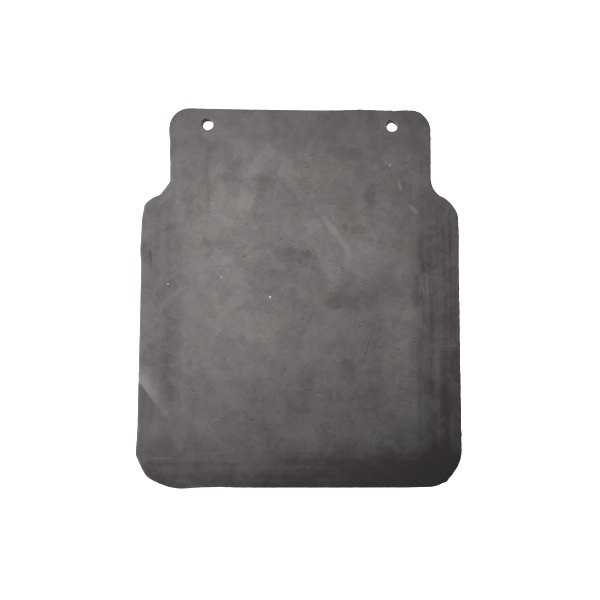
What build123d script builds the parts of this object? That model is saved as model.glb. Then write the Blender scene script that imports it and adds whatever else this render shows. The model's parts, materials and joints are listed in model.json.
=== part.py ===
from build123d import *
import os
from math import acos, degrees

# Moulded rubber mud flap, hung from two bolts along its top edge.
# A front and a rear rubber cover are vulcanised together round one textile ply.
# Frame: X across the flap, Z up, Y through its thickness. The origin lies midway
# between the two bolt holes, on the rear face that seats on the vehicle's bracket,
# and the front face looks along -Y. All sizes are in millimetres.

# Overall sizes
flap_height = 360.0
body_width = 300.0
flap_thickness = 10.0
edge_radius = 1.2  # moulded rounding of the front and rear rims

# Outline of the neck, shoulders and corners
shoulder_step = 25.0  # how far the body stands out past the neck on each side
neck_length = 67.0  # straight side of the neck, measured from the top edge
hollow_radius = 20.0  # inward curve where the neck meets the shoulder
shoulder_radius = 22.0  # outward curve of the shoulder
top_corner_radius = 18.0
bottom_corner_radius = 32.0

# Bolt holes, punched through both covers above the ply
hole_diameter = 12.0
hole_spacing = 176.0
hole_to_top = 15.0

# Textile ply, a straight-sided sheet sealed between the covers
ply_thickness = 1.2
ply_side_gap = 8.0  # rubber between the ply and the neck's sides
ply_below_holes = 7.0  # rubber between the bolt holes and the ply's top edge
ply_above_bottom = 30.0  # rubber between the ply and the flap's bottom edge
ply_corner_radius = 22.0

# The strip of the neck where the flap flexes below its bracket
flex_drop = 40.0  # from the holes down to the middle of the strip
flex_strip = 16.0

# Places worked out from the sizes above
top_z = hole_to_top
bottom_z = top_z - flap_height
body_half = body_width / 2
neck_half = body_half - shoulder_step
shoulder_turn = degrees(acos(1 - shoulder_step / (hollow_radius + shoulder_radius)))
flex_top_z = -flex_drop + flex_strip / 2
flex_bottom_z = -flex_drop - flex_strip / 2
ply_half = neck_half - ply_side_gap
ply_top_z = -hole_diameter / 2 - ply_below_holes
ply_bottom_z = bottom_z + ply_above_bottom

# Where each layer's zones begin and end, from the bracket down
zones = {
    "upper": (flex_top_z, top_z),
    "bend": (flex_bottom_z, flex_top_z),
    "lower": (bottom_z, flex_bottom_z),
}


def outline():
    """The flap's outline: neck, S-curved shoulders, straight sides, round corners."""
    with BuildSketch(Plane.XZ) as drawn:
        with BuildLine():
            top = Line((0, top_z), (neck_half - top_corner_radius, top_z))
            top_corner = JernArc(top @ 1, top % 1, top_corner_radius, -90)
            neck = Line(top_corner @ 1, (neck_half, top_z - neck_length))
            hollow = JernArc(neck @ 1, neck % 1, hollow_radius, shoulder_turn)
            shoulder = JernArc(hollow @ 1, hollow % 1, shoulder_radius, -shoulder_turn)
            side = Line(shoulder @ 1, (body_half, bottom_z + bottom_corner_radius))
            corner = JernArc(side @ 1, side % 1, bottom_corner_radius, -90)
            Line(corner @ 1, (0, bottom_z))
            mirror(about=Plane.YZ)
        make_face()
    return drawn.sketch


def bolt_holes():
    """The two punches that cut the bolt holes through both covers."""
    punch = Cylinder(hole_diameter / 2, 2 * flap_thickness, rotation=(90, 0, 0))
    return [Pos(side * hole_spacing / 2, -flap_thickness / 2, 0) * punch for side in (-1, 1)]


def slab(low_z, high_z):
    """A block wider and thicker than the flap, between two heights."""
    middle = Pos(0, -flap_thickness / 2, (low_z + high_z) / 2)
    return middle * Box(2 * body_width, 2 * flap_thickness, high_z - low_z)


def rubber_blank():
    """The whole flap's outer shape, with both rims rounded."""
    blank = extrude(outline(), flap_thickness)
    faces = blank.faces().sort_by(Axis.Y)
    rims = faces[0].outer_wire().edges() + faces[-1].outer_wire().edges()
    return fillet(rims, edge_radius)


def textile_ply():
    """The ply, centred in the thickness, from below the bolt holes to near the bottom."""
    height = ply_top_z - ply_bottom_z
    sheet = Plane.XZ * RectangleRounded(2 * ply_half, height, ply_corner_radius)
    face_gap = (flap_thickness - ply_thickness) / 2
    return extrude(Pos(0, -face_gap, ply_bottom_z + height / 2) * sheet, ply_thickness)


def half(solid, front):
    """The front or rear half of a solid, cut at the parting plane in mid thickness."""
    quarter = flap_thickness / 4
    depth = 3 * quarter if front else quarter
    block = Box(2 * body_width, 2 * quarter, 4 * flap_height)
    return solid & (Pos(0, -depth, 0) * block)


def layers():
    """The flap's three bonded layers, each whole. The covers meet round the ply."""
    ply = textile_ply()
    rubber = rubber_blank() - bolt_holes() - ply
    return {
        "front_cover": half(rubber, front=True),
        "ply": ply,
        "rear_cover": half(rubber, front=False),
    }


def main():
    os.makedirs("parts", exist_ok=True)
    for layer, solid in layers().items():
        for zone, (low_z, high_z) in zones.items():
            piece = solid & slab(low_z, high_z)
            piece.label = f"{layer}_{zone}"
            export_step(piece, f"parts/{piece.label}.step")


main()
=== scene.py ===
import json
import math

import bmesh
import bpy
import numpy as np
from mathutils import Matrix, Vector


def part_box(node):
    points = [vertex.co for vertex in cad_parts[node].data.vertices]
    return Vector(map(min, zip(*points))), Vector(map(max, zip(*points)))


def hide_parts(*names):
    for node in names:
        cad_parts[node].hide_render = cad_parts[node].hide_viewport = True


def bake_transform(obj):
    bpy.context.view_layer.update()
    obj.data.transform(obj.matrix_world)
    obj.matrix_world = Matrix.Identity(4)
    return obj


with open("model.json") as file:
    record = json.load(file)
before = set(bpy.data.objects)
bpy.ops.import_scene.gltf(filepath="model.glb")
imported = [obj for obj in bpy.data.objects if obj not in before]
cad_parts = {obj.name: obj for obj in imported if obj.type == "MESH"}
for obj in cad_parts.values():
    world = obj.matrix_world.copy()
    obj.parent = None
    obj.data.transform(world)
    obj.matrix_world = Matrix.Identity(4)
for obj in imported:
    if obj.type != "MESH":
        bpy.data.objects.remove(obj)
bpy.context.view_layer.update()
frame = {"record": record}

mm = 0.001

# Places that come from the frame
mounts = {m["name"]: m for m in frame["record"]["mounts"]}
boltDims = mounts["bolt_holes"]["dims"]
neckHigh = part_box("front_cover_upper")[1]
flapLow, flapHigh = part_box("front_cover_lower")
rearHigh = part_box("rear_cover_lower")[1]
plyLow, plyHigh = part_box("ply_lower")

flap = {
    "topZ": neckHigh.z,
    "bottomZ": flapLow.z,
    "neckHalf": neckHigh.x,
    "bodyHalf": flapHigh.x,
    "neckLength": 67 * mm,
    "topCorner": 18 * mm,
    "hollow": 20 * mm,
    "shoulder": 22 * mm,
    "bottomCorner": 32 * mm,
    "rim": 1.2 * mm,
    "frontY": flapLow.y,
    "rearY": rearHigh.y,
    "partingY": flapHigh.y,
}
bolt = {
    "x": boltDims["spacing_x_mm"] / 2 * mm,
    "radius": boltDims["hole_r_mm"] * mm,
}
plyPlan = {
    "half": plyHigh.x,
    "top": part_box("ply_upper")[1].z,
    "bottom": plyLow.z,
    "corner": 22 * mm,
    "thickness": plyHigh.y - plyLow.y,
}
print("frame read: flap", round(2 * flap["bodyHalf"], 4), "wide")


# Numbers that vary smoothly over the sheet

def ripple(x, z, wave, seed, count=20):
    # sum of plane waves in random directions, with lengths near wave, scaled to about -1..1
    rng = np.random.default_rng(seed)
    turn = rng.uniform(0, 2 * np.pi, count)
    reach = 2 * np.pi / (wave * rng.uniform(0.7, 1.5, count))
    phase = rng.uniform(0, 2 * np.pi, count)
    x, z = np.asarray(x)[..., None], np.asarray(z)[..., None]
    waves = np.sin(reach * (x * np.cos(turn) + z * np.sin(turn)) + phase)
    return waves.sum(-1) / np.sqrt(2 * count)


def smoothRise(low, high, value):
    # 0 at low, 1 at high, level beyond them and an S-curve between; low may be the larger
    t = np.clip((value - low) / (high - low), 0, 1)
    return t * t * (3 - 2 * t)


def lump(value, centre, width):
    # a bell: 1 at the centre, falling off over width
    return np.exp(-((value - centre) / width) ** 2)


def alongAndPast(x, z, start, end):
    # distance along a line from its start, and sideways past it: the offsets from the start
    # times the line's direction and times its normal. Takes arrays or shader values
    (x0, z0), (x1, z1) = start, end
    length = math.dist(start, end)
    unitX, unitZ = (x1 - x0) / length, (z1 - z0) / length
    along = (x - x0) * unitX + (z - z0) * unitZ
    past = (x - x0) * unitZ - (z - z0) * unitX
    return along, past


def insideRounded(x, z, plan):
    # distance inside a rounded rectangle's edge, negative outside: the corner's radius less
    # the distance from its centre, or less the nearer side's
    midZ = (plan["top"] + plan["bottom"]) / 2
    overX = np.abs(x) - plan["half"] + plan["corner"]
    overZ = np.abs(z - midZ) - (plan["top"] - plan["bottom"]) / 2 + plan["corner"]
    outside = np.hypot(np.maximum(overX, 0), np.maximum(overZ, 0))
    return plan["corner"] - outside - np.minimum(np.maximum(overX, overZ), 0)


# The shape that both covers share. Pairs of a size and a wavelength give a ripple
sheet = {
    "step": 1.8 * mm,  # along the outline
    "arcSteps": 90,
    "coreHalf": 104 * mm,  # columns are evenly spaced this far out
    "coreColumns": 130,
    "sideColumns": 22,
    "blockHalf": 10 * mm,  # square round each bolt hole that its rings fill
    "holeRings": 6,
    "rimSteps": 6,
    "draft": 0.12 * mm,
    # rings down the drafted wall: share of the draft that is left, share of the depth
    "wallRings": [(0.6, 0.5), (0.2, 0.78)],
    "panelRise": 0.2 * mm,
    "panelSlope": 2.5 * mm,  # half the width of the step round the panel
    "pocketSlope": 0.4 * mm,
    "panelWander": (1.2 * mm, 60 * mm),
    "dents": (0.05 * mm, 28 * mm),
    "fineDents": (0.025 * mm, 11 * mm),
    "bow": (0.35 * mm, 150 * mm),
    "bowSpan": (-20 * mm, -90 * mm),  # heights between which the bow sets in
    "fade": 9 * mm,  # how far in from the top and bottom their wander reaches
    "raggedSpan": (30 * mm, 60 * mm),  # x between which the top edge turns ragged
    # fine roughness of each edge; the top's lies on its right half
    "rough": {
        "left": (0.1 * mm, 9 * mm),
        "right": (0.24 * mm, 5 * mm),
        "top": (0.34 * mm, 5.5 * mm),
        "bottom": (0.07 * mm, 8 * mm),
    },
    "seeds": {"sides": 5, "bottom": 8, "top": 9, "bow": 11},
}
flash = {
    # thin rubber squeezed out at the parting line. Its teeth are longest where it is torn,
    # along the top right and right edges, and there is one nub near the lower right corner
    "least": 0.1 * mm,
    "tooth": (0.5 * mm, 4.5 * mm),
    "patchWave": 16 * mm,
    "patchSpan": (0.1, 0.9),
    "patchLift": 0.4,
    "elsewhere": 0.08,
    "heightSpan": (-250 * mm, -120 * mm),
    "nubReach": 1.0 * mm,
    "nubX": (136.5 * mm, 1.8 * mm),
    "nubZ": (-339 * mm, 4 * mm),
    "root": 0.3 * mm,  # how far in front of the parting line it starts
    "seeds": {"tooth": 21, "patch": 22},
}
# How far the trimmed edge stands outside the drawn one, in millimetres: for the sides by
# distance along the outline from the top corner down, for the top and bottom by x
edgeWander = {
    "left": [(0, 1.2), (16, 1.5), (27, 1.3), (32, 1.6), (38, 0.9), (43, 0.4), (54, 0.4), (65, -0.2),
             (76, -0.3), (81, -0.7), (87, 1.0), (92, 1.3), (97, -0.3), (103, 1.1), (108, 1.5),
             (114, 1.9), (119, 0.1), (125, 0.2), (130, 0.8), (146, 1.2), (157, 1.7), (162, 1.5),
             (168, 0.8), (180, 0.5), (240, 0.5), (290, 0.8), (325, 0.5), (335, 0.9), (346, 1.4),
             (352, 1.5), (357, 0.1), (362, -0.5), (368, -0.3), (373, 0.6), (379, -0.1), (385, -0.1),
             (400, 0.5)],
    "right": [(0, 1.0), (11, -0.3), (22, 0.0), (32, 0.7), (38, 1.0), (43, 0.7), (76, 0.4),
              (86, 0.3), (92, 0.0), (97, -0.8), (103, -1.2), (108, -1.3), (114, -0.8), (119, 0.2),
              (125, 0.7), (130, 1.2), (140, 1.5), (160, 1.2), (200, 1.0), (300, 1.0), (325, 0.9),
              (335, 1.2), (346, 1.0), (352, 0.5), (357, 0.1), (362, -0.5), (368, -1.0), (373, -1.0),
              (379, -0.5), (400, 0.0)],
    "top": [(-125, 1.8), (-107, 1.8), (-98, 1.6), (-90, 1.4), (-74, 1.1), (-50, 0.7), (-26, 0.5),
            (-2, 0.2), (14, 0.1), (38, 0.2), (48, 0.8), (62, 0.9), (78, 0.3), (94, 0.0),
            (102, 0.5), (110, 0.2), (125, 0.0)],
    "bottom": [(-140, 0.0), (-133, -1.1), (-127, -0.8), (-122, 0.1), (-113, 1.6), (-108, 1.9),
               (-103, 1.6), (-98, 1.1), (-90, 0.7), (-74, 0.3), (-58, 0.6), (-42, 0.7), (0, 0.5),
               (40, 0.4), (100, 0.1), (115, -0.3), (140, -0.3)],
}
curl = {
    # a fold runs in from the left edge and dies out; the corner below it comes forward
    "from": (-149.5 * mm, -248 * mm),
    "to": (-112 * mm, -296 * mm),
    "depth": 2.4 * mm,
    "above": 11 * mm,
    "below": 24 * mm,
    "alongSpan": (62 * mm, -8 * mm),
}


def outlineSide():
    # right side of the outline from the top corner down to the bottom one: straight runs and
    # tangent arcs, resampled at even steps, with the outward normal of every point
    f = flap
    turn = math.acos(1 - (f["bodyHalf"] - f["neckHalf"]) / (f["hollow"] + f["shoulder"]))
    neckEnd = f["topZ"] - f["neckLength"]
    shoulderZ = neckEnd - (f["hollow"] + f["shoulder"]) * math.sin(turn)

    def arc(centreX, centreZ, radius, start, end, facing):
        angle = np.linspace(start, end, sheet["arcSteps"])
        out = np.stack([np.cos(angle), np.sin(angle)], 1)
        return np.array([centreX, centreZ]) + radius * out, facing * out

    runs = [
        arc(f["neckHalf"] - f["topCorner"], f["topZ"] - f["topCorner"], f["topCorner"],
            math.pi / 2, 0, 1),
        arc(f["neckHalf"] + f["hollow"], neckEnd, f["hollow"], math.pi, math.pi + turn, -1),
        arc(f["bodyHalf"] - f["shoulder"], shoulderZ, f["shoulder"], turn, 0, 1),
        arc(f["bodyHalf"] - f["bottomCorner"], f["bottomZ"] + f["bottomCorner"],
            f["bottomCorner"], 0, -math.pi / 2, 1),
    ]
    points = np.concatenate([run[0] for run in runs])
    normals = np.concatenate([run[1] for run in runs])
    along = np.concatenate([[0], np.cumsum(np.hypot(*np.diff(points, axis=0).T))])
    sameSpot = 1e-9
    keep = np.concatenate([[True], np.diff(along) > sameSpot])
    points, normals, along = points[keep], normals[keep], along[keep]
    even = np.linspace(0, along[-1], int(along[-1] / sheet["step"]) + 1)
    points = np.stack([np.interp(even, along, points[:, i]) for i in (0, 1)], 1)
    normals = np.stack([np.interp(even, along, normals[:, i]) for i in (0, 1)], 1)
    return points, normals / np.linalg.norm(normals, axis=1)[:, None], even


sidePoints, sideNormals, sideAlong = outlineSide()


def wander(edge, where):
    # the edge's departure from the drawn outline, read from its list
    places, shifts = np.array(edgeWander[edge]).T
    return np.interp(where, places * mm, shifts * mm)


def sideTrim(side):
    # sideways shift of the edge at each outline point, with a little roughness
    size, wave = sheet["rough"][side]
    rough = size * ripple(0 * sideAlong, sideAlong, wave, sheet["seeds"]["sides"])
    return (wander(side, sideAlong) + rough) * sideNormals[:, 0]


def sheetGrid(inset):
    # rows across the flap, one at each outline point, each ending on the outline drawn inset
    # and trimmed: the middle columns are evenly spaced, the side ones share out the rest
    rowZ = sidePoints[:, 1] - inset * sideNormals[:, 1]
    core = np.linspace(-sheet["coreHalf"], sheet["coreHalf"], sheet["coreColumns"] + 1)
    share = np.linspace(0, 1, sheet["sideColumns"] + 1)[1:]
    edgeX = sidePoints[:, 0] - inset * sideNormals[:, 0]
    left, right = (sheet["coreHalf"] + (edgeX + sideTrim(side) - sheet["coreHalf"])[:, None] * share
                   for side in ("left", "right"))
    middle = np.broadcast_to(core, (len(rowZ), len(core)))
    x = np.concatenate([-left[:, ::-1], middle, right], 1)
    return x, np.broadcast_to(rowZ[:, None], x.shape)


def loopOf(grid):
    # the border of a two-parameter grid, once round, starting along its first row
    return np.concatenate([grid[0, :-1], grid[:-1, -1], grid[-1, :0:-1], grid[:0:-1, 0]])


def loopNormals():
    # outward normals round the border, in loopOf's order
    columns = sheet["coreColumns"] + 2 * sheet["sideColumns"]
    up = np.tile([0.0, 1.0], (columns, 1))
    left = sideNormals * [-1, 1]
    return np.concatenate([up, sideNormals[:-1], -up, left[:0:-1]])


def topAndBottom(x, z):
    # upward shift near the top and bottom edges, where the trimming wanders
    nearTop = np.exp(-np.maximum(flap["topZ"] - z, 0) / sheet["fade"])
    nearBottom = np.exp(-np.maximum(z - flap["bottomZ"], 0) / sheet["fade"])
    size, wave = sheet["rough"]["bottom"]
    rough = size * ripple(x, 0 * x, wave, sheet["seeds"]["bottom"])
    size, wave = sheet["rough"]["top"]
    jagged = size * ripple(x, 0 * x, wave, sheet["seeds"]["top"])
    jagged = jagged * smoothRise(*sheet["raggedSpan"], x)
    return (nearTop * (wander("top", x) + rough + jagged)
            - nearBottom * (wander("bottom", x) + rough))


def sheetBow(x, z):
    # shift of the whole sheet through its thickness: slow waves, and the fold, a valley that
    # falls off exponentially on each side of its line and dies out along it
    along, past = alongAndPast(x, z, curl["from"], curl["to"])
    reach = np.where(past > 0, curl["below"], curl["above"])
    valley = np.exp(-np.abs(past) / reach) * smoothRise(*curl["alongSpan"], along)
    size, wave = sheet["bow"]
    bow = size * ripple(x, z, wave, sheet["seeds"]["bow"]) * smoothRise(*sheet["bowSpan"], z)
    return bow + curl["depth"] * valley


def faceRise(x, z, seed):
    # how far the face stands out: the ply's plateau under it, and moulding unevenness
    (size, wave), slope = sheet["panelWander"], sheet["panelSlope"]
    edge = insideRounded(x, z, plyPlan) + size * ripple(x, z, wave, seed)
    uneven = 0
    for number, (size, wave) in enumerate((sheet["dents"], sheet["fineDents"]), 1):
        uneven = uneven + size * ripple(x, z, wave, seed + number)
    return sheet["panelRise"] * smoothRise(-slope, slope, edge) + uneven


def smoothMove(points):
    # final places of points given on the flat drawing
    x, y, z = points.T
    return np.stack([x, y + sheetBow(x, z), z + topAndBottom(x, z)], 1)


punch = {
    # lobes round each hole with their sizes in millimetres, and how the two holes differ:
    # where the middle lies, how much wider and taller each is, and how much it narrows
    # half-way through, where the rubber springs back behind the punch
    "waves": [(3, 0.12), (5, 0.1), (9, 0.05)],
    "taper": 0.3,  # how much narrower it is at the rear, in millimetres
    "lip": 1.1 * mm,
    # rings of the rounded mouth: gap outside the hole, and drop below the face
    "mouth": [(0.55 * mm, -0.1 * mm), (0.15 * mm, 0.0), (0, 0.3 * mm)],
    "drift": (0.35, -0.25),
    "holes": {
        -1: {"middle": (-1.1, 0.4), "wide": -0.25, "tall": -0.3, "narrow": 0.75, "seed": 31},
        1: {"middle": (0.4, -0.5), "wide": -0.45, "tall": -0.25, "narrow": 0.5, "seed": 35},
    },
}


def punchRadius(angle, side, depth):
    # an uneven circle: the bolt hole's radius stretched a little, with a few waves round it
    # that change with depth, which runs from 0 at the front face to 1 at the rear
    hole = punch["holes"][side]
    rng = np.random.default_rng(hole["seed"])
    off = hole["wide"] * np.cos(angle) ** 2 + hole["tall"] * np.sin(angle) ** 2
    off = off - hole["narrow"] * 4 * depth * (1 - depth) - punch["taper"] * depth
    for lobes, size in punch["waves"]:
        front, rear = rng.uniform(0, 2 * np.pi, 2)
        off = off + size * (1 - depth) * np.sin(lobes * angle + front)
        off = off + size * depth * np.sin(lobes * angle + rear)
    return bolt["radius"] + off * mm


class Shell:
    # collects rings and grids of points, and the quads that join them

    def __init__(self):
        self.points, self.quads, self.count = [], [], 0

    def add(self, x, y, z):
        # adds points of any shape and returns their numbers in that shape
        x, y, z = np.broadcast_arrays(x, y, z)
        self.points.append(np.stack([x, y, z], -1).reshape(-1, 3))
        numbers = self.count + np.arange(x.size).reshape(x.shape)
        self.count += x.size
        return numbers

    def cells(self, grid, keep=None):
        # quads of a grid, or only those of its cells that are kept
        quads = np.stack([grid[:-1, :-1], grid[:-1, 1:], grid[1:, 1:], grid[1:, :-1]], -1)
        self.quads.append(quads.reshape(-1, 4) if keep is None else quads[keep])

    def band(self, first, second):
        # quads between two closed rings with as many points each
        self.quads.append(np.stack([first, second, np.roll(second, -1), np.roll(first, -1)], -1))

    def finished(self, name):
        # a closed mesh of what was added, with the flat places kept as an attribute
        points, quads = np.concatenate(self.points), np.concatenate(self.quads)
        used, quads = np.unique(quads, return_inverse=True)
        points, quads = points[used], quads.reshape(-1, 4)
        mesh = bpy.data.meshes.new(name)
        mesh.from_pydata(smoothMove(points), [], quads)
        place = mesh.attributes.new("place", "FLOAT_VECTOR", "POINT")
        place.data.foreach_set("vector", points.astype(np.float32).ravel())
        turned = bmesh.new()
        turned.from_mesh(mesh)
        bmesh.ops.recalc_face_normals(turned, faces=turned.faces)
        turned.to_mesh(mesh)
        turned.free()
        mesh.shade_smooth()
        piece = bpy.data.objects.new(name, mesh)
        bpy.context.scene.collection.objects.link(piece)
        print(name, len(quads), "quads")
        return piece


def holeBlock(side):
    # first and last row and column of the square of cells that a bolt hole takes up
    x, z = sheetGrid(0)
    half, middle = sheet["blockHalf"], side * bolt["x"]
    row, column = z[:, 0], x[len(x) // 2]
    rows = [int(np.abs(row - v).argmin()) for v in (half, -half)]
    columns = [int(np.abs(column - v).argmin()) for v in (middle - half, middle + half)]
    return rows, columns


def addFace(shell, inset, depthAt, share, lipAt):
    # one face of a cover: the grid with its two squares filled by rings down to the holes.
    # share is how deep in the flap the face lies. Returns its border and each hole's edge
    x, z = sheetGrid(inset)
    grid = shell.add(x, depthAt(x, z), z)
    keep = np.ones((x.shape[0] - 1, x.shape[1] - 1), bool)
    mouths = []
    for side in (-1, 1):
        (r0, r1), (c0, c1) = holeBlock(side)
        keep[r0:r1, c0:c1] = False
        block = (slice(r0, r1 + 1), slice(c0, c1 + 1))
        ring, outZ = loopOf(grid[block]), loopOf(z[block])
        outX = loopOf(x[block]) - side * bolt["x"]
        angle = np.arctan2(outZ, outX)
        edge = punchRadius(angle, side, share)
        driftX, driftZ = ((m + d * share) * mm
                          for m, d in zip(punch["holes"][side]["middle"], punch["drift"]))
        steps = [(s, punch["lip"], 0) for s in np.linspace(0, 1, sheet["holeRings"])[1:]]
        steps += [(1, gap, drop) for gap, drop in lipAt]
        for mix, gap, drop in steps:
            holeX = driftX + (edge + gap) * np.cos(angle)
            holeZ = driftZ + (edge + gap) * np.sin(angle)
            ringX = side * bolt["x"] + outX * (1 - mix) + holeX * mix
            ringZ = outZ * (1 - mix) + holeZ * mix
            inner = shell.add(ringX, depthAt(ringX, ringZ, drop), ringZ)
            shell.band(ring, inner)
            ring = inner
        mouths.append(ring)
    shell.cells(grid, keep)
    return loopOf(grid), mouths


def flashReach(x, z):
    # how far the flash stands out: teeth from a fine ripple, in patches from a slow one, and
    # the nub as a bell in x and z
    torn = smoothRise(*sheet["raggedSpan"], x) * smoothRise(*flash["heightSpan"], z)
    lifted = ripple(x, z, flash["patchWave"], flash["seeds"]["patch"]) + flash["patchLift"]
    patches = smoothRise(*flash["patchSpan"], lifted)
    size, wave = flash["tooth"]
    tooth = np.abs(ripple(x, z, wave, flash["seeds"]["tooth"])) * patches
    nub = flash["nubReach"] * lump(x, *flash["nubX"]) * lump(z, *flash["nubZ"])
    return flash["least"] + size * np.maximum(torn, flash["elsewhere"]) * tooth + nub


def coverPiece(name, outerY, out, seed):
    # one rubber cover: outer face, rounded rim carried round the outline, parting face with
    # the ply's pocket, and the hole walls. out is -1 for the front cover and 1 for the rear
    shell = Shell()

    def outerDepth(x, z, drop=0.0):
        return outerY + out * (faceRise(x, z, seed) - drop)

    def innerDepth(x, z, drop=0.0):
        slope = sheet["pocketSlope"]
        pocket = smoothRise(-slope, slope, insideRounded(x, z, plyPlan))
        return flap["partingY"] + out * (pocket * plyPlan["thickness"] / 2 + drop)

    border, mouths = addFace(shell, flap["rim"], outerDepth, (1 + out) / 2, punch["mouth"])
    innerBorder, innerMouths = addFace(shell, 0, innerDepth, 0.5, [(0, 0)])

    # rim: the border carried outwards and back along a quarter round and a drafted wall
    edgeX, edgeZ = (loopOf(a) for a in sheetGrid(0))
    normal = loopNormals()
    wall = abs(flap["partingY"] - outerY)
    lift = faceRise(edgeX, edgeZ, seed)
    turn = np.linspace(0, math.pi / 2, sheet["rimSteps"])[1:]
    profile = [(flap["rim"] * (1 - math.sin(a)) + sheet["draft"] * math.sin(a),
                flap["rim"] * (1 - math.cos(a))) for a in turn]
    profile += [(sheet["draft"] * left, wall * share) for left, share in sheet["wallRings"]]
    profile += [(0, wall - flash["root"])]
    ring = border
    for inset, depth in profile:
        x, z = edgeX - inset * normal[:, 0], edgeZ - inset * normal[:, 1]
        outer = shell.add(x, outerY - out * (depth - lift * (1 - depth / wall)), z)
        shell.band(ring, outer)
        ring = outer
    reach = flashReach(edgeX, edgeZ)
    tip = shell.add(edgeX + reach * normal[:, 0], flap["partingY"], edgeZ + reach * normal[:, 1])
    shell.band(ring, tip)
    shell.band(tip, innerBorder)
    for mouth, innerMouth in zip(mouths, innerMouths):
        shell.band(mouth, innerMouth)
    return shell.finished(name)


frontCover = coverPiece("front_cover", flap["frontY"], out=-1, seed=41)
rearCover = coverPiece("rear_cover", flap["rearY"], out=1, seed=51)
print("covers made")

# The woven ply between them
weave = {
    "pitch": 4.2 * mm,
    "step": 1.4 * mm,
    "relief": 0.22 * mm,
    "cornerSteps": 14,
}


def plyPiece():
    # a closed sheet on a grid, its rows narrowed to round the corners; threads pass over and
    # under each other as the product of two sines, and both faces follow them
    p = plyPlan
    height = p["top"] - p["bottom"]
    slope = np.linspace(0, math.pi / 2, weave["cornerSteps"])
    capZ = p["corner"] * (1 - np.cos(slope))
    capIn = p["corner"] * (1 - np.sin(slope))
    down = np.linspace(p["corner"], height - p["corner"], int(height / weave["step"]))[1:-1]
    rowDrop = np.concatenate([capZ, down, height - capZ[::-1]])
    rowIn = np.concatenate([capIn, 0 * down, capIn[::-1]])
    across = np.linspace(-1, 1, int(2 * p["half"] / weave["step"]) + 1)
    z = (p["top"] - rowDrop)[:, None] + 0 * across
    x = (p["half"] - rowIn)[:, None] * across
    k = math.pi / weave["pitch"]
    over = weave["relief"] * np.sin(k * x) * np.sin(k * z)
    half = p["thickness"] / 2 - weave["relief"]
    shell = Shell()
    front = shell.add(x, flap["partingY"] - half + over, z)
    rear = shell.add(x, flap["partingY"] + half + over, z)
    shell.cells(front)
    shell.cells(rear)
    shell.band(loopOf(rear), loopOf(front))
    return shell.finished("reinforcing_ply")


ply = plyPiece()
print("ply made")


class Wire:
    # an output socket that takes part in Python expressions

    def __init__(self, tree, socket=None):
        self.tree, self.socket = tree, socket

    def node(self, kind, settings=None, values=None, output=0):
        # any node: its settings first, then its sockets' values or links; gives one output
        made = self.tree.nodes.new(kind)
        for name, value in (settings or {}).items():
            setattr(made, name, value)
        for name, value in (values or {}).items():
            if isinstance(value, Wire):
                self.tree.links.new(value.socket, made.inputs[name])
            else:
                made.inputs[name].default_value = value
        return Wire(self.tree, made.outputs[output])

    def math(self, operation, first, second=0.0):
        return self.node("ShaderNodeMath", {"operation": operation}, {0: first, 1: second})

    def __add__(self, other):
        return self.math("ADD", self, other)

    def __radd__(self, other):
        return self.math("ADD", other, self)

    def __sub__(self, other):
        return self.math("SUBTRACT", self, other)

    def __rsub__(self, other):
        return self.math("SUBTRACT", other, self)

    def __mul__(self, other):
        return self.math("MULTIPLY", self, other)

    def __rmul__(self, other):
        return self.math("MULTIPLY", other, self)

    def __pow__(self, other):
        return self.math("POWER", self, other)

    def size(self):
        # the value without its sign
        return self.math("ABSOLUTE", self)

    def atMost(self, other):
        return self.math("MINIMUM", self, other)

    def atLeast(self, other):
        return self.math("MAXIMUM", self, other)

    def rise(self, low, high):
        # 0 below low, 1 above high, smooth between; low may be the larger
        if low > high:
            return 1 - self.rise(high, low)
        return self.node("ShaderNodeMapRange", {"interpolation_type": "SMOOTHSTEP"},
                         {"Value": self, "From Min": low, "From Max": high})

    def vectors(self, operation, first, second, third=(0.0, 0.0, 0.0), output=0):
        values = {0: first, 1: second}
        if operation == "MULTIPLY_ADD":
            values[2] = third
        return self.node("ShaderNodeVectorMath", {"operation": operation}, values, output)

    def parts(self):
        # the x, y and z of a vector
        spread = self.node("ShaderNodeSeparateXYZ", None, {0: self}).socket.node
        return [Wire(self.tree, output) for output in spread.outputs]

    def noise(self, where, scale, detail=3.0, rough=0.5, warp=0.0, output=0):
        return self.node("ShaderNodeTexNoise", None, {
            "Vector": where, "Scale": scale, "Detail": detail, "Roughness": rough,
            "Distortion": warp}, output)

    def blend(self, factor, low, high):
        # mixed colour: low where the factor is 0, high where it is 1
        return self.node("ShaderNodeMix", {"data_type": "RGBA"}, {0: factor, 6: low, 7: high}, 2)

    def bump(self, height, strength):
        # a Bump node for a height in millimetres
        return self.node("ShaderNodeBump", None,
                         {"Strength": strength, "Distance": mm, "Height": height})

    def blot(self, where, centre, reach, soft=0.12):
        # 1 inside an ellipse in x and z, 0 outside it, fading over soft on each side of it
        scale = (1 / reach[0], 0.0, 1 / reach[1])
        shift = (-centre[0] / reach[0], 0.0, -centre[1] / reach[1])
        scaled = self.vectors("MULTIPLY_ADD", where, scale, shift)
        distance = self.vectors("LENGTH", scaled, (0.0, 0.0, 0.0), output=1)
        return distance.rise(1 + soft, 1 - soft)


def tone(level, warm=0.0, purple=0.0):
    # a near-neutral grey, a little redder than it is green or blue
    return (level * (1.04 - 0.2 * warm + purple), level * 0.96,
            level * (0.96 - warm + 0.28 * purple), 1.0)


def newMaterial(name):
    # an empty material with its shader, and a Wire on its node tree to build with
    material = bpy.data.materials.new(name)
    material.use_nodes = True
    tree = material.node_tree
    tree.nodes.clear()
    surface = tree.nodes.new("ShaderNodeBsdfPrincipled")
    output = tree.nodes.new("ShaderNodeOutputMaterial")
    tree.links.new(surface.outputs[0], output.inputs[0])
    return material, surface, Wire(tree)


def plug(surface, name, wire):
    wire.tree.links.new(wire.socket, surface.inputs[name])


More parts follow.
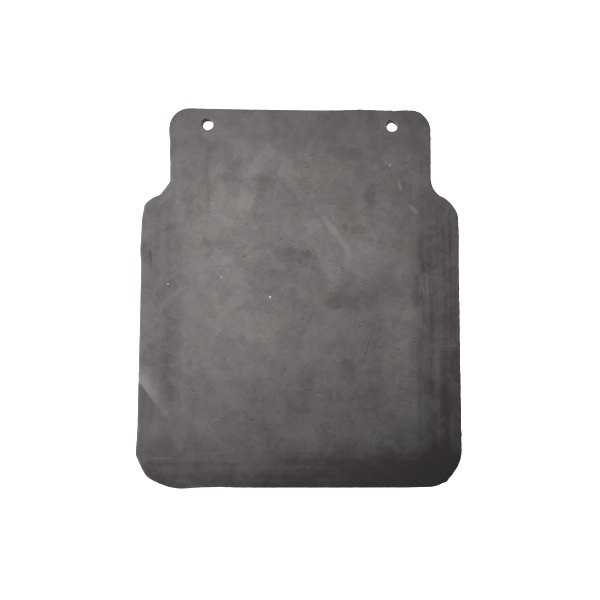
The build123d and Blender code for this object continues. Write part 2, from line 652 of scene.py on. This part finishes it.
# Rubber of both covers, in millimetres. Bloom is the pale film on aged rubber: 0 is bare, 1 is
# thickest. A texture is a noise's scale, detail, roughness and warp
rubber = {
    "bare": 0.0144,
    "bloomed": 0.0604,
    "warmth": 0.04,
    "purple": 0.13,
    "dust": 0.3,
    # colour of the painted shade in the pits
    "pitShadeTone": 0.009,
    "usual": 0.47,
    "rough": 0.72,
    "roughSpan": (0.4, 0.9),
    "gloss": 0.18,
    "apart": 37.0,  # depth that sets each cover's patterns apart from the other's
    # loose and torn places: a texture and how far it moves the pattern
    "drift": ((0.07, 3.0, 0.6, 0.0), 12.0),
    "tear": ((0.19, 3.0, 0.65, 0.0), 11.0),
    "tornDrift": 0.5,
    # layers of bloom: a texture, the values it rises between, and the bloom it adds
    "layers": [
        ((0.02, 2.0, 0.5, 0.5), (0.36, 0.64), 0.14),
        ((0.042, 3.0, 0.5, 0.6), (0.47, 0.51), 0.1),
        ((0.075, 3.0, 0.55, 0.8), (0.49, 0.525), 0.08),
    ],
    "fleck": (0.24, 3.0, 0.6),
    "fleckBloom": 0.28,
    "grain": (0.9, 2.0, 0.55),
    "grainBloom": 0.15,
    # streaks: how much the noise is stretched, its texture, and the bloom it adds
    "upward": ((1.0, 1.0, 0.03), (0.24, 3.0, 0.55), 0.8),
    "across": ((0.06, 1.0, 1.0), (0.2, 3.0, 0.45), 0.5),
    "leftStreak": 0.3,
    "washSoft": 0.75,
    "fingerSoft": 2.5,
    "fingerCore": 0.8,
    "scratchSoft": 3.0,
    "shake": 4.0,  # how far flecks move the strokes sideways
    "sideBloom": 0.75,  # share of the bloom that the moulded sides have
    "faceSpan": (3.4, 4.7),  # from mid thickness to the faces
    # pits: squeeze, texture, the values it rises between, and where they cluster
    "pitSqueeze": (0.6, 1.0, 1.0),
    "pitTexture": (0.36, 2.0, 0.5, 0.8),
    "pitSpan": (0.625, 0.685),
    "clusterTexture": (0.035, 2.0),
    "clusterSpan": (0.44, 0.6),
    "borderPits": 0.8,  # share of them that the border lacks
    "fewPits": 0.12,  # share that lies outside the clusters
    # share of painted shade in the pits, then the shift and gain of the painted highlight on their
    # lower lips
    "pitShade": 0.36,
    "lipShift": (0.5, 0.0, 1.3),
    "lipHighlight": 0.18,
    "warmTexture": (0.05, 3.0, 0.6),
    "warmSpan": (0.38, 0.62),
    "speckCover": 0.6,
    "bloomRough": (0.4, 0.25),  # bloom at which roughness is as set, and how much it adds
    "grainRough": 0.12,
}
relief = {
    # heights in millimetres
    "grain": 0.03,
    "fine": 0.02,
    "fineTexture": (2.6, 2.0, 0.6),
    "dents": 0.14,
    "dentTexture": (0.14, 3.0, 0.55),
    "streaks": 0.12,
    "pits": 0.1,
    "specks": 0.05,
    "scratches": 0.6,
    "strength": 0.6,
}
borderPlan = {
    # the panel over the ply, and between which places each zone outside it sets in
    "half": 111.0,
    "top": -22.0,
    "bottom": -305.0,
    "corner": 30.0,
    "edge": (3.5, -3.5),
    "wobbleTexture": (0.03, 2.0),
    "wobble": 9.0,
    "lowStreaks": (-291.0, -323.0),
    "body": (-50.0, -115.0),
    "right": (96.0, 116.0),
    "left": (-104.0, -122.0),
    # the low band is partly bare rubber and partly painted shade, darker towards the bottom
    "lowBareAndShade": (-295.0, -352.0),
    "neck": (-42.0, -12.0),
    # the next two place the painted shade towards the bottom right corner, in z and in x
    "lowEdge": (-308.0, -325.0),
    "lowRightShade": (-50.0, 30.0),
    "warmPanel": (-290.0, -220.0),
}
foldWhiteningAndLightPlan = {
    # how the stress whitening and painted highlight fade: along the fold, above it, and where they
    # are cut off below; the last four place the painted shade below the fold and say how deep it is
    "along": (52.0, -6.0),
    "above": (-20.0, -0.5),
    "aboveCurve": 1.6,
    "cut": (1.0, 0.0),
    "shadeFrom": (0.0, 1.5),
    "shadeTo": (30.0, 4.0),
    "shadeAlong": (60.0, 10.0),
    "shadeShare": 0.16,
}


def panelEdge(x, z):
    # distance inside the panel's rounded rectangle, worked out as insideRounded does
    top, bottom, corner = borderPlan["top"], borderPlan["bottom"], borderPlan["corner"]
    midZ, halfZ = (top + bottom) / 2, (top - bottom) / 2
    overX = x.size() - (borderPlan["half"] - corner)
    overZ = (z - midZ).size() - (halfZ - corner)
    pastX, pastZ = overX.atLeast(0.0), overZ.atLeast(0.0)
    outside = (pastX * pastX + pastZ * pastZ) ** 0.5
    return corner - outside - overX.atLeast(overZ).atMost(0.0)


def strokeMask(x, z, start, end, width, soft=1.0, core=0.3):
    # 1 on a straight stroke from start to end, fading outside its core and at its ends
    along, past = alongAndPast(x, z, start, end)
    length = math.dist(start, end)
    ends = along.rise(-soft, soft) * along.rise(length + soft, length - soft)
    return past.size().rise(width, width * core) * ends


# Marks on the faces, in millimetres. Blots with ragged edges and broad soft washes are
# (centre, reach, bloom gained or lost). Fingers with ragged edges, soft strokes and scratches
# are (start, end, width, bloom), and spots of dust (centre, radius). The side bands and the
# neck say how much bloom those zones lack. The low band lacks bloom partly as bare rubber and
# partly as painted shade towards the bottom, and the lower right zone as painted shade. The
# fold's value is how much stress whitening and painted highlight it adds, with painted shade
# below it
frontMarks = {
    "blots": [
        ((-66, -78), (19, 23), 0.13),
        ((-13, -47), (9, 8), 0.09),
        ((-74, -130), (11, 6), 0.1),
        ((-82, -100), (19, 14), 0.08),
        ((79, -86), (10, 14), 0.09),
        ((64, -116), (9, 10), 0.08),
        ((97, -147), (8, 13), 0.08),
        ((20, -256), (8, 15), 0.11),
        ((36, -222), (7, 6), 0.08),
        ((86, -237), (8, 28), 0.09),
        ((-63, -38), (7, 10), -0.07),
        ((-106, -71), (6, 9), -0.13),
        ((-105, -47), (6, 10), -0.09),
        ((-7, -128), (17, 7), -0.11),
        ((93, -118), (5, 6), -0.13),
        ((4, -245), (7, 8), -0.13),
        ((73, -256), (8, 8), -0.11),
        ((87, -277), (5, 6), -0.11),
        ((46, -237), (8, 13), -0.08),
        ((4, -130), (6, 10), -0.07),
        ((110, -163), (4, 17), -0.13),
        ((119, -139), (4, 6), -0.15),
        ((99, -58), (3, 5), -0.13),
    ],
    "washes": [
        ((-25, -216), (21, 23), 0.06),
        ((-65, -199), (38, 42), 0.06),
        ((74, -170), (42, 9), -0.08),
        ((-119, -209), (8, 42), -0.12),
        ((89, -205), (12, 42), 0.16),
        ((84, -90), (12, 45), 0.08),
        ((35, -105), (12, 12), 0.06),
        ((-112, -285), (36, 16), 0.1),
        ((-140, -150), (8, 18), -0.06),
        ((141, -250), (9, 50), -0.12),
        ((135, -300), (12, 40), -0.15),
        ((-30, -15), (120, 45), 0.12),
        ((-88, 4), (36, 14), 0.06),
        ((-60, -48), (45, 28), 0.1),
        ((60, -110), (50, 50), 0.09),
        ((103, -215), (10, 42), 0.2),
        ((72, -128), (28, 26), 0.08),
        ((86, -258), (14, 22), 0.1),
        ((-140, -290), (14, 36), 0.08),
        # painted shade: this wash darkens the bottom towards the right
        ((88, -328), (62, 22), -0.2),
        ((30, -300), (45, 16), 0.06),
        ((-138, -316), (28, 20), 0.12),
        ((62, -10), (50, 22), -0.06),
    ],
    "fingers": [
        ((-81, -28), (-78, -84), 7.5, 0.14),
        ((-27, -23), (-46, -46), 6.5, 0.14),
        ((-47, -44), (-53, -84), 8.0, 0.15),
        ((-30, -52), (-34, -82), 9.0, -0.13),
        ((-9, -34), (-17, -50), 5.5, 0.1),
        ((2, -52), (10, -68), 7.0, -0.09),
        ((12, -95), (30, -142), 8.0, 0.13),
        ((30, -140), (38, -156), 9.0, 0.13),
        ((42, -102), (64, -103), 4.0, -0.13),
        ((66, -58), (67, -82), 5.0, -0.1),
        ((20, -168), (98, -173), 8.0, -0.045),
    ],
    "strokes": [
        ((23, -91), (45, -121), 4.5, 0.25),
        ((45, -119), (44, -141), 5.5, 0.15),
        ((4, -107), (23, -135), 6.0, 0.09),
        ((23, -135), (34, -153), 7.0, 0.08),
        ((94, -56), (97, -64), 2.2, 0.5),
        ((104, -79), (112, -86), 2.4, 0.42),
        ((115.5, -147), (117, -168), 0.9, 0.3),
        ((119.5, -150), (121, -168), 0.9, 0.22),
        ((132, -214), (148, -213), 0.8, 0.22),
        ((-137, -319), (-118, -318.6), 0.9, 0.22),
    ],
    "scratches": [
        ((72, -191), (61, -224), 1.1, 0.22),
        ((65, -203), (59, -215), 0.9, 0.18),
        ((16, -281), (29, -302), 0.9, 0.12),
        ((-141, -123), (-141, -139), 2.2, 0.12),
        ((97, -172), (97, -180), 1.0, 0.08),
    ],
    "spots": [
        ((-27.8, -167.8), 0.8),
        ((-74.3, -148.8), 0.4),
        ((-124.2, -155.7), 0.5),
        ((86.1, -39.4), 0.5),
    ],
    "rightBand": 0.19,
    "leftBand": 0.16,
    # the low band is partly painted shade, and the lower right zone is painted shade
    "lowBareAndShade": 0.3,
    "lowRightShade": 0.16,
    "neck": -0.08,
    # stress whitening and painted highlight along the fold, with painted shade below it
    "foldWhiteningAndLight": 0.48,
}
rearMarks = {
    "blots": [((-35, -150), (16, 9), 0.08), ((22, -215), (11, 15), -0.09)],
    "washes": [
        ((40, -90), (34, 26), 0.09),
        ((-60, -220), (38, 30), 0.08),
        ((-50, -80), (22, 30), -0.07),
        ((55, -190), (26, 20), -0.07),
        ((-20, -280), (30, 14), 0.06),
        ((0, 2), (66, 9), -0.09),
    ],
    "fingers": [((-10, -70), (-40, -110), 8.0, 0.09), ((60, -240), (40, -280), 7.0, -0.08)],
    "strokes": [((-30, -60), (-80, -120), 4.0, 0.08), ((20, -250), (70, -262), 2.0, 0.1)],
    "scratches": [((-20, -180), (14, -206), 0.8, 0.14), ((80, -60), (92, -90), 0.8, 0.1)],
    "spots": [((60, -140), 0.9), ((-95, -75), 0.7)],
    "rightBand": 0.08,
    "leftBand": 0.08,
    # the low band is partly painted shade
    "lowBareAndShade": 0.12,
    "lowRightShade": 0.0,
    "neck": 0.04,
    "foldWhiteningAndLight": 0.0,
}


def foldWhiteningAndHighlight(x, z, strength):
    # rubber whitens where it is bent, and a painted highlight adds to the whitening: brightest on
    # the fold line at the left edge, fading above it and along it, and cut off sharply below it,
    # where painted shade makes it a little darker
    start, end = (tuple(v / mm for v in curl[key]) for key in ("from", "to"))
    along, past = alongAndPast(x, z, start, end)
    above = past.rise(*foldWhiteningAndLightPlan["above"]) ** foldWhiteningAndLightPlan["aboveCurve"] * past.rise(*foldWhiteningAndLightPlan["cut"])
    # painted shade below the fold
    dark = past.rise(*foldWhiteningAndLightPlan["shadeFrom"]) * past.rise(*foldWhiteningAndLightPlan["shadeTo"])
    dark = dark * along.rise(*foldWhiteningAndLightPlan["shadeAlong"])
    return above * along.rise(*foldWhiteningAndLightPlan["along"]) * strength - dark * (strength * foldWhiteningAndLightPlan["shadeShare"])


def shaken(where, texture, reach):
    # a coloured noise, centred on 0, as a shift across and up by as much as half the reach
    noise = where.noise(where, *texture, output=1)
    return where.vectors("MULTIPLY_ADD", noise, (reach, 0.0, reach), (-reach / 2, 0.0, -reach / 2))


def pitMask(where):
    # pits are short and lie mostly crossways: the peaks of a noise that is stretched sideways
    squeezed = where.vectors("MULTIPLY", where, rubber["pitSqueeze"])
    return where.noise(squeezed, *rubber["pitTexture"]).rise(*rubber["pitSpan"])


def streaksOf(where, stretch, texture):
    # a noise centred on 0 that is stretched along the streaks
    return where.noise(where.vectors("MULTIPLY", where, stretch), *texture) - 0.5


def rubberMaterial(name, marks, seed):
    # moulded rubber: bloom lies in clouds with watery edges over the panel, the border round
    # the ply is barer and streaked along its length, and small pits and dust lie all over
    material, surface, w = newMaterial(name)
    apart = seed * rubber["apart"]
    place = w.node("ShaderNodeAttribute", {"attribute_name": "place"}, None, 1)
    place = w.vectors("MULTIPLY_ADD", place, (1 / mm, 1 / mm, 1 / mm), (0.0, apart, 0.0))
    x, y, z = place.parts()
    drift = shaken(place, *rubber["drift"])
    loose = w.vectors("ADD", place, drift)
    share = rubber["tornDrift"]
    torn = w.vectors("MULTIPLY_ADD", drift, (share, 0.0, share), place)
    torn = w.vectors("ADD", torn, shaken(place, *rubber["tear"]))
    tornParts = torn.parts()
    tornX, tornZ = tornParts[0], tornParts[2]

    # where the border is, and how much barer each side of it is; towards the bottom this is partly
    # painted shade, and at the lower right it is painted shade
    wobble = (w.noise(place, *borderPlan["wobbleTexture"]) - 0.5) * borderPlan["wobble"]
    outer = (panelEdge(x, z) + wobble).rise(*borderPlan["edge"])
    low = z.rise(*borderPlan["lowStreaks"])
    body = z.rise(*borderPlan["body"])
    right = x.rise(*borderPlan["right"]) * body
    left = x.rise(*borderPlan["left"]) * body
    bare = outer * (right * marks["rightBand"] + left * marks["leftBand"])
    # partly painted shade: darker towards the bottom
    bare = bare + z.rise(*borderPlan["lowBareAndShade"]) * marks["lowBareAndShade"]
    bare = bare + z.rise(*borderPlan["neck"]) * marks["neck"]
    # painted shade towards the bottom right corner
    lowRightShade = z.rise(*borderPlan["lowEdge"]) * x.rise(*borderPlan["lowRightShade"])
    bare = bare + lowRightShade * marks["lowRightShade"]

    # bloom: layers of patches, flecks and grain, and streaks up the sides and across the bottom
    bloom = rubber["usual"]
    for texture, span, gain in rubber["layers"]:
        bloom = bloom + (w.noise(loose, *texture).rise(*span) - 0.5) * gain
    fleck = w.noise(place, *rubber["fleck"])
    grain = w.noise(place, *rubber["grain"])
    bloom = bloom + (fleck - 0.5) * rubber["fleckBloom"]
    bloom = bloom + (grain - 0.5) * rubber["grainBloom"] - bare
    stretch, texture, sideGain = rubber["upward"]
    sides = (right + left * rubber["leftStreak"]) * (1 - low)
    sideStreak = streaksOf(place, stretch, texture) * sides
    stretch, texture, lowGain = rubber["across"]
    lowStreak = streaksOf(place, stretch, texture) * low
    bloom = bloom + sideStreak * sideGain + lowStreak * lowGain

    # marks that the face has
    for centre, reach, gain in marks["blots"]:
        bloom = bloom + w.blot(torn, centre, reach) * gain
    for centre, reach, gain in marks["washes"]:
        bloom = bloom + w.blot(loose, centre, reach, rubber["washSoft"]) * gain
    for start, end, width, gain in marks["fingers"]:
        finger = strokeMask(tornX, tornZ, start, end, width,
                            rubber["fingerSoft"], rubber["fingerCore"])
        bloom = bloom + finger * gain
    shakenX = x + (fleck - 0.5) * rubber["shake"]
    for start, end, width, gain in marks["strokes"]:
        bloom = bloom + strokeMask(shakenX, z, start, end, width, width) * gain
    scratches = 0.0
    for start, end, width, loss in marks["scratches"]:
        scratch = strokeMask(shakenX, z, start, end, width, rubber["scratchSoft"])
        scratches = scratch * loss + scratches
    bloom = bloom - scratches
    # stress whitening and painted highlight at the fold, with painted shade below it
    if marks["foldWhiteningAndLight"]:
        bloom = bloom + foldWhiteningAndHighlight(x, z, marks["foldWhiteningAndLight"])

    # the sides are as moulded, with less bloom
    fromMiddle = (y - (flap["partingY"] / mm + apart)).size()
    onFace = fromMiddle.rise(*rubber["faceSpan"])
    bloom = bloom * (rubber["sideBloom"] + onFace * (1 - rubber["sideBloom"]))

    # pits in clusters, darkened with painted shade, each with a painted highlight on its lower lip
    spread = w.noise(place, *rubber["clusterTexture"]).rise(*rubber["clusterSpan"])
    spread = spread * (1 - outer * rubber["borderPits"])
    few = rubber["fewPits"]
    pits = pitMask(place) * (few + spread * (1 - few)) * onFace
    litLipHighlight = pitMask(w.vectors("ADD", place, rubber["lipShift"]))
    bloom = bloom + litLipHighlight * spread * (1 - pits) * rubber["lipHighlight"]

    # the panel is a little warmer than its border
    warm = w.noise(loose, *rubber["warmTexture"]).rise(*rubber["warmSpan"]) * 0.5
    warm = warm + (1 - outer) * z.rise(*borderPlan["warmPanel"]) * 0.5
    ends = []
    for level, purple in (("bare", rubber["purple"]), ("bloomed", 0.0)):
        cooler = tone(rubber[level], -rubber["warmth"], purple)
        warmer = tone(rubber[level], rubber["warmth"], purple)
        ends.append(w.blend(warm, cooler, warmer))
    base = w.blend(bloom, *ends)
    # painted shade in the pits
    base = w.blend(pits * rubber["pitShade"], base, tone(rubber["pitShadeTone"]))
    specks = 0.0
    for centre, radius in marks["spots"]:
        specks = w.blot(place, centre, (radius, radius)) + specks
    base = w.blend(specks * rubber["speckCover"], base, tone(rubber["dust"]))
    plug(surface, "Base Color", base)

    # bloom dulls the rubber
    level, gain = rubber["bloomRough"]
    rough = rubber["rough"] + (bloom - level) * gain + (grain - 0.5) * rubber["grainRough"]
    least, most = rubber["roughSpan"]
    plug(surface, "Roughness", rough.atMost(most).atLeast(least))
    surface.inputs["Specular IOR Level"].default_value = rubber["gloss"]

    height = grain * relief["grain"] + w.noise(place, *relief["fineTexture"]) * relief["fine"]
    height = height + w.noise(place, *relief["dentTexture"]) * relief["dents"]
    height = height + sideStreak * relief["streaks"] + lowStreak * relief["streaks"]
    height = height - pits * relief["pits"] + specks * relief["specks"]
    height = height - scratches * relief["scratches"]
    plug(surface, "Normal", w.bump(height, relief["strength"]))
    return material


frontRubber = rubberMaterial("front rubber", frontMarks, seed=1)
rearRubber = rubberMaterial("rear rubber", rearMarks, seed=2)

# Woven textile of the ply
textile = {
    "thread": (0.42, 0.36, 0.27, 1.0),
    "shade": (0.2, 0.165, 0.12, 1.0),
    "gapSpan": (0.02, 0.45),
    "twists": 9,  # strands of a thread across one pitch
    "dye": (80.0, 3.0),
    "gapShade": 0.7,
    "twistShade": 0.2,
    "dyeShade": 0.3,
    "gapHeight": 0.3,
    "twistHeight": 0.08,
    "rough": 0.8,
    "roughSpread": 0.2,
    "relief": 0.5,
}


def textileMaterial():
    # over-and-under threads: each crossing of two sine waves is lighter where a thread is on
    # top and darker in the gaps, with fine twist along the threads
    material, surface, w = newMaterial("ply textile")
    place = w.node("ShaderNodeAttribute", {"attribute_name": "place"}, None, 1)
    parts = place.parts()
    x, z = parts[0], parts[2]
    k = math.pi / weave["pitch"]
    crossing = w.math("SINE", x * k) * w.math("SINE", z * k)
    gaps = crossing.size().rise(*textile["gapSpan"])
    twist = w.math("SINE", (x + z) * (k * textile["twists"])) * 0.5 + 0.5
    dye = w.noise(place, *textile["dye"])
    shade = gaps * textile["gapShade"] + twist * textile["twistShade"] + dye * textile["dyeShade"]
    shade = shade.atMost(1.0)
    plug(surface, "Base Color", w.blend(shade, textile["shade"], textile["thread"]))
    plug(surface, "Roughness", textile["rough"] + (dye - 0.5) * textile["roughSpread"])
    height = gaps * textile["gapHeight"] + twist * textile["twistHeight"]
    plug(surface, "Normal", w.bump(height, textile["relief"]))
    return material


plyTextile = textileMaterial()
print("materials made")

# Each piece with its material, a slot name and its layer: the piece takes the material, and
# its layer's parts are hidden
plans = [
    (frontCover, frontRubber, "rubber", "front_cover"),
    (ply, plyTextile, "textile", "ply"),
    (rearCover, rearRubber, "rubber", "rear_cover"),
]
for piece, material, slotName, layer in plans:
    piece.data.materials.append(material)
    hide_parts(layer + "_upper", layer + "_bend", layer + "_lower")
    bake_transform(piece)

# Floor and backdrop: one pale sweep, which glows so that it stays even behind the flap
stagePlan = {
    "floorZ": -1.0,
    "wallY": 2.2,
    "curve": 0.7,
    "half": 14.0,
    "top": 6.0,
    "floorGlow": 0.167,
    "wallGlow": 1.0,
    "glowSpan": (0.2, 1.5),
    "paint": (0.84, 0.88),
    "clouds": (0.6, 2.0),
    "rough": 0.9,
    "coveSteps": 24,
}


def grey(level):
    # an even grey, opaque
    return level, level, level, 1.0


def stageMaterial():
    # pale paint with faint clouds, glowing more the further back it lies
    material, surface, w = newMaterial("pale stage")
    where = w.node("ShaderNodeTexCoord", None, None, 3)
    dark, pale = stagePlan["paint"]
    cloud = w.noise(where, *stagePlan["clouds"])
    plug(surface, "Base Color", w.blend(cloud, grey(dark), grey(pale)))
    surface.inputs["Roughness"].default_value = stagePlan["rough"]
    back = where.parts()[1].rise(*stagePlan["glowSpan"])
    glowing = w.blend(back, grey(stagePlan["floorGlow"]), grey(stagePlan["wallGlow"]))
    plug(surface, "Emission Color", glowing)
    surface.inputs["Emission Strength"].default_value = 1.0
    return material


def stageMesh():
    # floor, quarter-round cove and wall: one profile carried sideways
    s = stagePlan
    angle = np.linspace(0, math.pi / 2, s["coveSteps"])
    coveY = s["wallY"] - s["curve"] + s["curve"] * np.sin(angle)
    coveZ = s["floorZ"] + s["curve"] * (1 - np.cos(angle))
    y = np.concatenate([[-s["half"]], coveY, [s["wallY"]]])
    z = np.concatenate([[s["floorZ"]], coveZ, [s["top"]]])
    x = np.array([-s["half"], s["half"]])
    points = np.stack(np.broadcast_arrays(x[None, :], y[:, None], z[:, None]), -1).reshape(-1, 3)
    grid = np.arange(len(points)).reshape(len(y), 2)
    quads = np.stack([grid[:-1, 0], grid[:-1, 1], grid[1:, 1], grid[1:, 0]], -1)
    mesh = bpy.data.meshes.new("stage")
    mesh.from_pydata(points, [], quads)
    mesh.shade_smooth()
    backdrop = bpy.data.objects.new("stage", mesh)
    bpy.context.scene.collection.objects.link(backdrop)
    mesh.materials.append(stageMaterial())


stageMesh()


def aim(thing, place, target):
    # puts a lamp in its place, turned so that it shines at the target
    thing.location = place
    thing.rotation_euler = (Vector(target) - Vector(place)).to_track_quat("-Z", "Y").to_euler()
    bpy.context.scene.collection.objects.link(thing)


studio = {
    "air": 0.283,
    "lamps": [
        # kind, place, target, watts, size
        ("SPOT", (-2.4, -1.67, -0.724), (-0.101, 0, -0.14), 2660, 0.16),
        ("AREA", (0.9, 1.3, 0.8), (0, 0, -0.15), 22, 0.9),
        ("AREA", (-1.2, 1.2, 0.3), (0, 0, -0.15), 12, 0.9),
    ],
    "keyCone": math.radians(10),
}
for kind, place, target, watts, size in studio["lamps"]:
    light = bpy.data.lights.new("studio light", kind)
    light.energy = watts
    if kind == "SPOT":
        light.shadow_soft_size = size
        light.spot_size = studio["keyCone"]
        light.spot_blend = 1.0
    else:
        light.size = size
    aim(bpy.data.objects.new("studio light", light), place, target)

world = bpy.data.worlds.new("studio air")
bpy.context.scene.world = world
world.use_nodes = True
world.node_tree.nodes["Background"].inputs[0].default_value = (1, 1, 1, 1)
world.node_tree.nodes["Background"].inputs[1].default_value = studio["air"]
bpy.context.scene.view_settings.view_transform = "Standard"

look = {
    "distance": 1.2,
    "below": math.radians(8.71),
    "tilt": math.radians(0.21),
    "target": Vector((0.0004, flap["frontY"], -0.1705)),
    "lens": 1274 / 600,  # focal length as a share of the sensor width
}
camera = bpy.data.objects.new("camera", bpy.data.cameras.new("camera"))
camera.data.sensor_width = 36
camera.data.lens = look["lens"] * camera.data.sensor_width
back = Vector((0, -math.cos(look["below"]), -math.sin(look["below"])))
camera.location = look["target"] + back * look["distance"]
turn = (-back).to_track_quat("-Z", "Y").to_matrix().to_4x4()
camera.rotation_euler = (turn @ Matrix.Rotation(look["tilt"], 4, "Z")).to_euler()
bpy.context.scene.collection.objects.link(camera)
bpy.context.scene.camera = camera
print("stage, lights and camera set")
